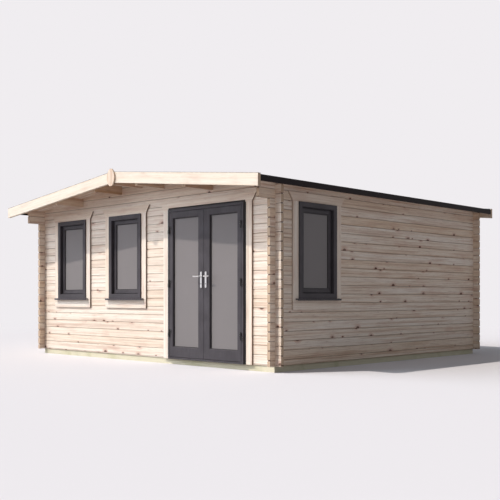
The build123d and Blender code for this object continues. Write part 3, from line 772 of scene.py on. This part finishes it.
@dataclass
class Roof:
    """Roof boards, felt, bargeboards, purlins and eaves trims."""

    pitch: float = 6.2  # degrees
    board_thickness: float = 28 * MM
    board_width: float = 92 * MM
    board_joint: float = 3 * MM  # depth of half the V between two boards
    board_gap: float = 0.4 * MM
    sheet: float = 2 * MM  # thickness of a felt sheet
    sheet_width: float = 1.0
    lap: float = 80 * MM
    lap_ramp: float = 20 * MM  # over which a sheet comes down from the one that it laps
    bleed: float = 9 * MM  # bitumen pressed out of a lap
    strip: float = 0.33  # width of the strip over the ridge
    strip_lift: float = 0.6 * MM  # over the sheets under it
    strip_margin: float = 25 * MM  # from its edges to its nails
    nail_spacing: float = 75 * MM
    nail_margin: float = 20 * MM  # from the ends of a sheet to its first nails
    nail_radius: float = 4.5 * MM

    @property
    def slope(self) -> float:
        """Rise of the roof over its run."""
        return math.tan(math.radians(self.pitch))

    @property
    def rise(self) -> float:
        """Height through the roof boards."""
        return self.board_thickness / math.cos(math.radians(self.pitch))

    def dress(self) -> None:
        """Finishes every piece of the roof."""
        felt = MineralFelt().build()
        for side, name in ((-1, "left"), (1, "right")):
            self._boards(side, name)
            self._sheets(side, name)
            dress(felt, f"{name}_roof_felt")
        self._ridge_strip()
        beams = PlanedSpruce(
            "spruce_purlins", Axis.Y, Axis.X, 0.44, foot=0.22, seed=9.0, pale="#EBDAC6", honey="#DCC3A8"
        )
        dress(beams.build(), "ridge_purlin", "side_purlins")
        verge = PlanedSpruce(
            "spruce_bargeboards",
            grain=Axis.X,
            courses=Axis.Z,
            pitch=1.3,
            foot=1.3,
            fall=self.slope,
            contrast=0.5,
            knot_share=0.05,
            seed=12.0,
            pale="#F5EBDC",
            honey="#F0E2CF",
            streak="#E4D0B7",
        )
        boards = [f"{end}_{side}_bargeboard" for end in ("front", "back") for side in ("left", "right")]
        dress(verge.build(), *boards)
        plates = PlanedSpruce("spruce_gable_plates", Axis.Z, Axis.X, 0.4, foot=0.2, seed=3.0)
        dress(plates.build(), "gable_finials")
        trims = FoiledPvc("black_eaves_pvc", base="#1D1415", shade="#120C0D", grain=Axis.Y, roughness=0.6)
        dress(trims.build(), "eaves_trims")

    def _boards(self, side: int, name: str) -> None:
        """Lays tongued boards from the ridge to the eaves, with a V at each joint underneath.

        Args:
            side: -1 on the left and 1 on the right.
            name: The slope's name.
        """
        low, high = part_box(f"{name}_roof_boards")
        inner, outer = (high[0], low[0]) if side < 0 else (low[0], high[0])
        drop = abs(outer - inner) * self.slope
        count = round((high[1] - low[1]) / self.board_width)
        width = (high[1] - low[1]) / count
        c, top = self.board_joint, self.rise
        shape = Shape()
        for i in range(count):
            y0, y1 = low[1] + i * width, low[1] + (i + 1) * width - self.board_gap
            outline = [(y0 + c, 0.0), (y1 - c, 0.0), (y1, c), (y1, top), (y0, top), (y0, c)]
            shape.loft(
                [(inner, y, low[2] + drop + t) for y, t in outline],
                [(outer, y, low[2] + t) for y, t in outline],
            )
        look = {"foot": low[1], "seed": 40.0 + side, "honey": "#E2CBB2"}
        spruce = PlanedSpruce(f"spruce_roof_boards_{name}", Axis.X, Axis.Y, width, **look)
        piece = shape.finish(f"{name}_roof_planks", spruce.build(), "cabin", "timber")
        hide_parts(f"{name}_roof_boards")

    def _sheets(self, side: int, name: str) -> None:
        """Lays felt in lapped sheets along the roof and nails down the lower edge of each.

        Args:
            side: -1 on the left and 1 on the right.
            name: The slope's name.
        """
        low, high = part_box(f"{name}_roof_boards")
        inner, outer = (high[0], low[0]) if side < 0 else (low[0], high[0])
        run = abs(outer - inner)
        ridge = low[2] + run * self.slope
        front, back = low[1] + SHEET_INSET, high[1] - SHEET_INSET

        def place(along: float, lift: float) -> tuple[float, float]:
            """A place on the slope: so far up from the eaves, so far above the felt below."""
            x = outer + (inner - outer) * along / run
            return x, ridge - abs(x - inner) * self.slope + self.rise + FELT_SEAT + lift

        nails, bleed = Shape(), Shape()
        starts = [0.0]
        while starts[-1] + self.sheet_width < run:
            starts.append(starts[-1] + self.sheet_width - self.lap)
        for number, start in enumerate(starts):
            end = min(start + self.sheet_width, run)
            lift = self.sheet if start else 0.0
            down = start + self.lap + self.lap_ramp
            under = [place(start, lift), place(start + self.lap, lift), place(down, 0.0), place(end, 0.0)]
            over = [(x, z + self.sheet) for x, z in reversed(under)]
            shape = Shape()
            shape.prism([(x, front, z) for x, z in under + over], (0, back - front, 0))
            felt = MineralFelt(f"mineral_felt_{name}_{number}", tone=0.22 * (number % 2))
            shape.finish(f"{name}_felt_sheet_{number}", felt.build(), "cabin", "roof_felt")
            self._nail_row(nails, *place(start + 0.3 * self.lap, lift + self.sheet), front, back)
            if start:
                edge = [place(start - self.bleed, 0.0), place(start, 0.0), place(start, lift + self.sheet)]
                bleed.prism([(x, front, z + SEAT) for x, z in edge], (0, back - front, 0))
        self._finish_nails(nails, name)
        tar = FoiledPvc(f"bitumen_{name}", base="#141415", shade="#0C0C0D", grain=Axis.Y, roughness=0.3)
        bleed.finish(f"{name}_felt_bleed", tar.build(), "cabin", "roof_felt")

    def _nail_row(self, nails: Shape, x: float, z: float, front: float, back: float) -> None:
        """Drives a row of clout nails along the roof.

        Args:
            nails: The mesh they join.
            x: The row's place across the roof.
            z: Height of the felt there.
            front: Where the sheet starts.
            back: Where it ends.
        """
        count = int((back - front) / self.nail_spacing)
        for i in range(count + 1):
            y = front + self.nail_margin + i * (back - front - 2 * self.nail_margin) / count
            nails.disc((x, y, z - SUNK), (0, 0, 1), self.nail_radius, 1.2 * MM, sides=8, dome=0.3)

    def _finish_nails(self, nails: Shape, name: str) -> None:
        """Galvanises the clout nails of a slope or of the ridge."""
        steel = Metal(f"galvanised_clouts_{name}", base="#8E9296", shade="#6E7276", roughness=0.5)
        nails.finish(f"{name}_felt_nails", steel.build(), "cabin", "roof_felt")

    def _ridge_strip(self) -> None:
        """Folds a strip of felt over the ridge and nails down both its edges."""
        low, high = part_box("left_roof_boards")
        front, back = low[1] + SHEET_INSET, high[1] - SHEET_INSET
        crest = high[2] + FELT_SEAT + self.sheet + self.strip_lift
        half, t = self.strip / 2, self.sheet
        drop = half * self.slope
        outline = [(-half, crest - drop), (0.0, crest), (half, crest - drop)]
        outline += [(x, z + t) for x, z in reversed(outline)]
        shape, nails = Shape(), Shape()
        shape.prism([(x, front, z) for x, z in outline], (0, back - front, 0))
        felt = MineralFelt("mineral_felt_ridge", tone=0.3)
        shape.finish("ridge_felt_strip", felt.build(), "cabin", "roof_felt")
        inset = half - self.strip_margin
        for way in (-1, 1):
            self._nail_row(nails, way * inset, crest + t - inset * self.slope, front, back)
        self._finish_nails(nails, "ridge")


@dataclass(frozen=True)
class Facing:
    """Which way a window or door looks: along -Y at the front or along +X at the side."""

    along: Axis
    outward: Axis
    sign: int

    def point(self, along: float, out: float, up: float) -> Point:
        """A place from how far along the wall, out of it and up it is."""
        return (along, out, up) if self.along is Axis.X else (out, along, up)

    def extent(self, node: str) -> Edges:
        """Lowest and highest places of a node along the wall and up it."""
        low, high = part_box(node)
        return low[self.along.value], high[self.along.value], low[2], high[2]

    def face(self, node: str) -> float:
        """Place of a node's outer face."""
        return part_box(node)[0 if self.sign < 0 else 1][self.outward.value]

    def inner(self, node: str) -> float:
        """Place of a node's inner face."""
        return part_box(node)[1 if self.sign < 0 else 0][self.outward.value]

    def ring(self, shape: Shape, edges: Edges, near: Point, far: Point) -> None:
        """Adds a rectangular ring, mitred at its corners.

        Args:
            shape: The mesh it joins.
            edges: Its edges.
            near: How far the outer and inner sides of one face are drawn in from them, and its place.
            far: The same of its other face.
        """
        sections = []
        for outer, inner, out in (near, far):
            loops = []
            for a0, a1, z0, z1 in (drawn_in(edges, outer), drawn_in(edges, inner)):
                loops.append([self.point(a, out, z) for a, z in ((a0, z0), (a1, z0), (a1, z1), (a0, z1))])
            sections.append(loops)
        for i in range(4):
            j = (i + 1) % 4
            shape.loft(*([outer[i], outer[j], inner[j], inner[i]] for outer, inner in sections))


FRONT = Facing(Axis.X, Axis.Y, -1)
SIDE = Facing(Axis.Y, Axis.X, 1)


def drawn_in(edges: Edges, inset: float) -> Edges:
    """Edges drawn in on all sides."""
    a0, a1, z0, z1 = edges
    return a0 + inset, a1 - inset, z0 + inset, z1 - inset


@dataclass
class Opening:
    """What the windows and the doors share: seals on the glass, and a timber trim with its nails."""

    finishes: dict[str, bpy.types.Material]
    facing: Facing = FRONT
    glass_edge: float = 12 * MM  # hidden in the sash or leaf
    seal: float = 5.5 * MM  # width of the seals on the glass
    # how far the black seal runs out from the glass along the reveal; deeper than a gasket, so that its black
    # also paints the reveal's shade
    seal_depth: float = 9 * MM
    inner_seal_depth: float = 9 * MM
    trim_board: float = 100 * MM  # width of the upright trim boards
    trim_pitch: float = 0.55  # of three boards that it is cut from, so that each upright has its own streaks
    nail_radius: float = 2.2 * MM
    nail_margin: float = 40 * MM  # from the ends of a board to its nails
    nail_rows: tuple[float, float] = (30 * MM, 80 * MM)  # heights in the head board
    foot_rows: tuple[float, float] = (25 * MM, 80 * MM)  # and in the foot board
    tall: float = 1.6  # a trim taller than this has one row of nails more

    def seal_glass(self, shape: Shape, node: str) -> None:
        """Runs a seal round a sheet of glass, on both of its faces.

        Args:
            shape: The mesh it joins.
            node: The glass.
        """
        edges = drawn_in(self.facing.extent(node), self.glass_edge)
        sign, width = self.facing.sign, self.seal
        # the seal reaches up the reveal, and its black stands in for the reveal's shade as well as the gasket
        out = self.facing.face(node) + sign * self.seal_depth
        foot = out - sign * (self.seal_depth - SEAT)
        self.facing.ring(shape, edges, (0.0, width, out), (0.0, width, foot))
        foot = self.facing.inner(node) - sign * SEAT
        self.facing.ring(shape, edges, (0.0, width, foot), (0.0, width, foot - sign * self.inner_seal_depth))

    def dress_trim(self, name: str, spruce: str, **look: Any) -> None:
        """Finishes the timber trim and nails it, two nails to each end of each board and pairs between.

        Args:
            name: What the nodes of the trim and of the frame within it start with.
            spruce: Its finish's name.
            **look: What sets its spruce apart.
        """
        a0, a1, z0, z1 = self.facing.extent(f"{name}_frame")
        trim = PlanedSpruce(
            spruce,
            grain=Axis.Z,
            courses=self.facing.along,
            pitch=self.trim_pitch,
            foot=(a0 + a1) / 2 - 1.5 * self.trim_pitch,
            turn_above=z1,
            face=self.facing.outward,
            contrast=0.5,
            knot_share=0.08,
            **look,
        )
        dress(trim.build(), f"{name}_trim")
        low, out = self.facing.extent(f"{name}_trim")[2], self.facing.face(f"{name}_trim")
        margin = self.nail_margin
        places = []
        rows = 5 if z1 - low > self.tall else 4
        for i in range(rows):
            z = low + margin + (z1 - low - 2 * margin) * i / (rows - 1)
            for edge, way in ((a0, -1), (a1, 1)):
                places += [(edge + way * share * self.trim_board, out, z) for share in (0.25, 0.75)]
        for a in (a0 - 0.5 * self.trim_board, a1 + 0.5 * self.trim_board, (a0 + a1) / 2):
            places += [(a, out, z1 + height) for height in self.nail_rows]
        if low < z0 - 50 * MM:  # a foot board shows under the cill
            for a in (a0 + margin, a1 - margin):
                places += [(a, out, low + height) for height in self.foot_rows]
        shape = Shape()
        outward = self.facing.point(0.0, float(self.facing.sign), 0.0)
        shape.heads((self.facing.point(*p) for p in places), outward, self.nail_radius)
        shape.finish(f"{name}_trim_nails", self.finishes["steel"], "cabin", "timber")


@dataclass(kw_only=True)
class Window(Opening):
    """One fixed window: frame, cill, sash, glass, seals and the timber trim round it."""

    name: str
    frame_face: float = 62 * MM
    trim_drop: float = 24 * MM  # from the frame down to the foot board
    rebate_seal: float = 3 * MM  # between the sash and the frame
    bead_inset: float = 5 * MM  # from the frame to the bead round the sash
    bead_width: float = 13 * MM
    bead_height: float = 6 * MM

    def dress(self) -> None:
        """Finishes the window."""
        dress(self.finishes["pvc"], *(f"{self.name}_{part}" for part in ("frame", "sash", "cill")))
        dress(self.finishes["glass"], f"{self.name}_glass")
        a0, _, z0, _ = self.facing.extent(f"{self.name}_frame")
        self.dress_trim(
            self.name,
            f"spruce_trim_{self.name}",
            turn_below=z0 - self.trim_drop,
            edge_shade=0.72 if self.facing is FRONT else 0.35,  # the side window's trim edges get lighter painted shade
            seed=70.0 + z0 + a0,
        )
        shape, bead = Shape(), Shape()
        self.seal_glass(shape, f"{self.name}_glass")
        rebate = drawn_in(self.facing.extent(f"{self.name}_frame"), self.frame_face)
        face, sign = self.facing.face(f"{self.name}_sash"), self.facing.sign
        width, wide = self.rebate_seal, self.bead_width
        out = face + sign * width
        self.facing.ring(shape, rebate, (0.0, width, out), (0.0, width, out - sign * (width - SEAT)))
        shape.finish(f"{self.name}_seals", self.finishes["rubber"], "cabin", "eaves_trim")
        foot = (0.0, wide, face - sign * SEAT)
        top = (0.5 * wide, 0.9 * wide, face + sign * self.bead_height)
        self.facing.ring(bead, drawn_in(rebate, self.bead_inset), foot, top)  # its outer side slopes
        bead.finish(f"{self.name}_sash_bead", self.finishes["pvc"], "cabin", "grey_pvc")


@dataclass
class DoorPair(Opening):
    """The two glazed leaves with their frame, threshold, hinges, handles and locks."""

    seal_depth: float = 12 * MM  # the leaf reaches 25 mm in front of the glass and 11 mm behind it; the seal's black also paints the shade in the reveal
    trim_board: float = 118 * MM
    trim_pitch: float = 0.9
    lock_drop: float = 92 * MM  # from the lever to the lock
    lock_radius: float = 8.5 * MM
    lock_foot: float = 12 * MM  # from the lock to the narrow foot of its cylinder
    lock_foot_radius: float = 5 * MM
    plate_screw: float = 3.6 * MM  # radius of the screws in a handle plate
    plate_margin: float = 13 * MM  # from its ends to them
    bead: float = 24 * MM  # width of the seal round the frame, widened so that its black also paints the shade beside the frame
    bead_depth: float = 9 * MM
    bead_lift: float = 2 * MM  # its sides start this far above the frame's foot
    hinge_heights: tuple[float, ...] = (0.406, 1.051, 1.745)
    hinge_length: float = 96 * MM
    hinge_face: float = 4.3 * MM  # from the door frame to the face of the hinge plates
    pin_inset: float = 34.5 * MM  # from the outside of the frame
    screw_aside: float = 24 * MM  # from the pin
    screw_spread: float = 13 * MM  # above and below the middle of a plate
    screw_radius: float = 3.4 * MM

    def dress(self) -> None:
        """Finishes the doors."""
        dress(self.finishes["pvc"], "door_frame", "door_threshold")
        dress(self.finishes["black"], "door_frame_hinges")
        self.dress_trim("door", "spruce_trim_doors", seed=55.0)
        # a black seal that also paints the shade beside the door frame
        self._bead()
        self._hinge_screws("door_frame_hinges", "cabin")
        for name in ("left", "right"):
            self._leaf(name)

    def _bead(self) -> None:
        """Runs a black seal between the frame and the timber trim, up both sides and over the head; it is
        wider than a real seal, so that its black also paints the shade beside the proud frame.
        """
        a0, a1, z0, z1 = FRONT.extent("door_frame")
        back = FRONT.face("door_trim") - SEAT
        front = FRONT.face("door_trim") - self.bead_depth
        wide, narrow = self.bead, 0.4 * self.bead
        shape = Shape()
        section = ((SEAT, front), (narrow, front), (wide, back), (SEAT, back))
        foot = z0 + self.bead_lift
        for edge, way in ((a0, -1), (a1, 1)):
            shape.prism([(edge + way * w, y, foot) for w, y in section], (0, 0, z1 - foot))
        shape.prism([(a0 - narrow, y, z1 + w) for w, y in section], (a1 - a0 + 2 * narrow, 0, 0))
        # the seal's black stands in for the shade beside the proud frame
        shape.finish("door_seal_and_shade", self.finishes["rubber"], "cabin", "eaves_trim")

    def _hinge_screws(self, node: str, body: str) -> None:
        """Adds the screws of the hinge plates.

        Args:
            node: The node of the hinges.
            body: The body that carries them.
        """
        low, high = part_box(node)
        face = FRONT.face("door_frame") - self.hinge_face
        frame_a0, frame_a1, _, _ = FRONT.extent("door_frame")
        half = -1 if body == "cabin" else 1  # the frame's halves are the lower ones, outside the pins
        shape = Shape()
        for edge, way in ((frame_a0, 1), (frame_a1, -1)):
            x = edge + way * self.pin_inset + half * way * self.screw_aside
            if not low[0] < x < high[0]:
                continue
            for height in self.hinge_heights:
                middle = height + half * self.hinge_length / 4
                places = [(x, face, middle + up * self.screw_spread) for up in (-1, 1)]
                shape.heads(places, (0.0, -1.0, 0.0), self.screw_radius)
        shape.finish(f"{node}_screws", self.finishes["steel"], body, "hinge_black")

    def _leaf(self, name: str) -> None:
        """Finishes one leaf.

        Args:
            name: Its side.
        """
        body = f"{name}_door"
        dress(self.finishes["pvc"], f"{body}_leaf")
        dress(self.finishes["glass"], f"{body}_glass")
        dress(self.finishes["black"], f"{body}_hinges")
        dress(self.finishes["handle"], f"{body}_plates", f"{body}_lever")
        self._hinge_screws(f"{body}_hinges", body)
        shape = Shape()
        self.seal_glass(shape, f"{body}_glass")
        shape.finish(f"{body}_seals", self.finishes["rubber"], body, "eaves_trim")
        self._lock(name, body)

    def _lock(self, name: str, body: str) -> None:
        """Adds the lock cylinders and the screws of the handle plates.

        Args:
            name: The leaf's side.
            body: The body that carries them.
        """
        low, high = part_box(f"{body}_plates")
        lever_low, lever_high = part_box(f"{body}_lever")
        x = (low[0] + high[0]) / 2
        lock_z = (lever_low[2] + lever_high[2]) / 2 - self.lock_drop
        locks, screws = Shape(), Shape()
        for face, way in ((low[1], -1.0), (high[1], 1.0)):
            out = (0.0, way, 0.0)
            foot = face - way * 0.5 * MM
            locks.disc((x, foot, lock_z), out, self.lock_radius, 3.0 * MM, sides=24, dome=0.12)
            narrow = self.lock_foot_radius
            locks.disc((x, foot, lock_z - self.lock_foot), out, narrow, 2.6 * MM, sides=20, dome=0.12)
            sunk = face - way * 0.4 * MM
            for z in (high[2] - self.plate_margin, low[2] + self.plate_margin):
                screws.disc((x, sunk, z), out, self.plate_screw, 1.6 * MM, sides=16, dome=0.35)
        locks.finish(f"{body}_locks", self.finishes["steel"], body, "handle_metal")
        screws.finish(f"{name}_plate_screws", self.finishes["steel"], body, "handle_metal")


@dataclass
class Studio:
    """Pale floor, plain lights and the camera."""

    camera_place: Point = (8.9063, -9.1825, 0.8750)
    camera_turn: float = 0.771079  # radians from looking along +Y, towards -X
    lens: float = 59.55
    lift: float = 0.0941  # of the view, as a share of the picture's width
    key_direction: Point = (0.288, 0.504, -0.747)
    key_strength: float = 2.52
    key_colour: str = "#FFF8F0"
    key_spread: float = 1.2  # degrees, as is the fill's
    fill_direction: Point = (0.71, 0.60, -0.375)
    fill_strength: float = 3.2
    fill_colour: str = "#EDF4FF"
    fill_spread: float = 60.0
    ambient: float = 0.305
    ambient_colour: str = "#EEF3FC"
    backdrop: str = "#F0EDF0"
    floor: str = "#DAD7D9"
    bounce: str = "#969396"  # what the floor gives back to the cabin, as a dull ground does
    horizon: tuple[float, float] = (7.0, 14.0)  # distances over which the floor turns into the backdrop
    reach: float = 60.0  # half the width of the floor

    def build(self) -> None:
        """Sets the camera, lights, world and floor."""
        self._camera()
        self._lamp("key", self.key_direction, self.key_strength, self.key_colour, self.key_spread)
        self._lamp("fill", self.fill_direction, self.fill_strength, self.fill_colour, self.fill_spread)
        self._world()
        self._floor()
        bpy.context.scene.view_settings.view_transform = "Standard"

    def _camera(self) -> None:
        """Stands the camera at the photograph's viewpoint."""
        data = bpy.data.cameras.new("camera")
        data.lens = self.lens
        data.sensor_width = 36.0
        data.shift_y = self.lift
        data.clip_end = 200.0
        camera = bpy.data.objects.new("camera", data)
        camera.location = self.camera_place
        camera.rotation_euler = (math.pi / 2, 0.0, self.camera_turn)
        bpy.context.collection.objects.link(camera)
        bpy.context.scene.camera = camera

    def _lamp(self, name: str, direction: Point, strength: float, colour: str, spread: float) -> None:
        """Adds a far lamp.

        Args:
            name: The lamp's name.
            direction: Which way its light travels.
            strength: Its power.
            colour: Its colour.
            spread: Angle that it fills, in degrees, which softens its shadows.
        """
        data = bpy.data.lights.new(name, "SUN")
        data.energy = strength
        data.color = linear(colour)[:3]
        data.angle = math.radians(spread)
        lamp = bpy.data.objects.new(name, data)
        lamp.rotation_euler = Vector(direction).to_track_quat("-Z", "Y").to_euler()
        lamp.visible_glossy = spread < 10.0  # the wide one would show as a disc in the glass
        bpy.context.collection.objects.link(lamp)

    def _world(self) -> None:
        """Lights the scene evenly and shows the pale backdrop to the camera, in gloss and through glass."""
        world = bpy.data.worlds.new("studio")
        bpy.context.scene.world = world
        sky = Wiring(world)
        around = sky.add("Background", {"Color": self.ambient_colour, "Strength": self.ambient})
        shown = sky.add("Background", {"Color": self.backdrop, "Strength": 1.0})
        sky.add("OutputWorld", {"Surface": sky.add("MixShader", [sky.seen(), around, shown])})

    def _floor(self) -> None:
        """Lays the floor that keeps the cabin's shadow."""
        material = bpy.data.materials.new("studio_floor")
        ground = Wiring(material)
        seen = ground.seen()
        colour = ground.add("Mix", {AMOUNT: seen, LOWER: self.bounce, UPPER: self.floor}, data_type="RGBA")
        away = ground.add("VectorMath", [ground.where], operation="LENGTH").outputs["Value"]
        near, far = self.horizon
        inputs = {"Value": away, "From Min": near, "From Max": far}
        fade = ground.add("MapRange", inputs, interpolation_type="SMOOTHSTEP")
        fade = ground.add("Math", [fade, seen], operation="MULTIPLY")
        lit = ground.add("BsdfDiffuse", {"Color": colour})
        plain = ground.add("Emission", {"Color": self.backdrop, "Strength": 1.0})
        ground.add("OutputMaterial", {"Surface": ground.add("MixShader", [fade, lit, plain])})
        shape = bmesh.new()
        corners = [(x * self.reach, y * self.reach) for x, y in ((-1, -1), (1, -1), (1, 1), (-1, 1))]
        shape.faces.new([shape.verts.new((x, y, 0.0)) for x, y in corners])
        data = bpy.data.meshes.new("studio_floor")
        shape.to_mesh(data)
        shape.free()
        data.materials.append(material)
        floor = bpy.data.objects.new("studio_floor", data)
        bpy.context.collection.objects.link(floor)


def main() -> None:
    """Builds the studio, then dresses the cabin from the base up."""
    Studio().build()
    finishes = {
        "pvc": FoiledPvc("anthracite_foiled_pvc").build(),
        "glass": GreyGlass().build(),
        "rubber": Rubber().build(),
        "handle": Metal("satin_aluminium", base="#F2F2F2", shade="#E2E2E4", roughness=0.32).build(),
        "steel": Metal("bright_steel", base="#C9CACC", shade="#B5B6B8", roughness=0.25).build(),
        "black": Metal("black_lacquered_steel", "#1A181A", "#242224", metallic=0.0, roughness=0.42).build(),
    }
    Base().dress()
    LogWalls().dress()
    Roof().dress()
    for name, facing in (("left_window", FRONT), ("centre_window", FRONT), ("side_window", SIDE)):
        Window(finishes, facing, name=name).dress()
    DoorPair(finishes).dress()


if __name__ == "__main__":
    main()
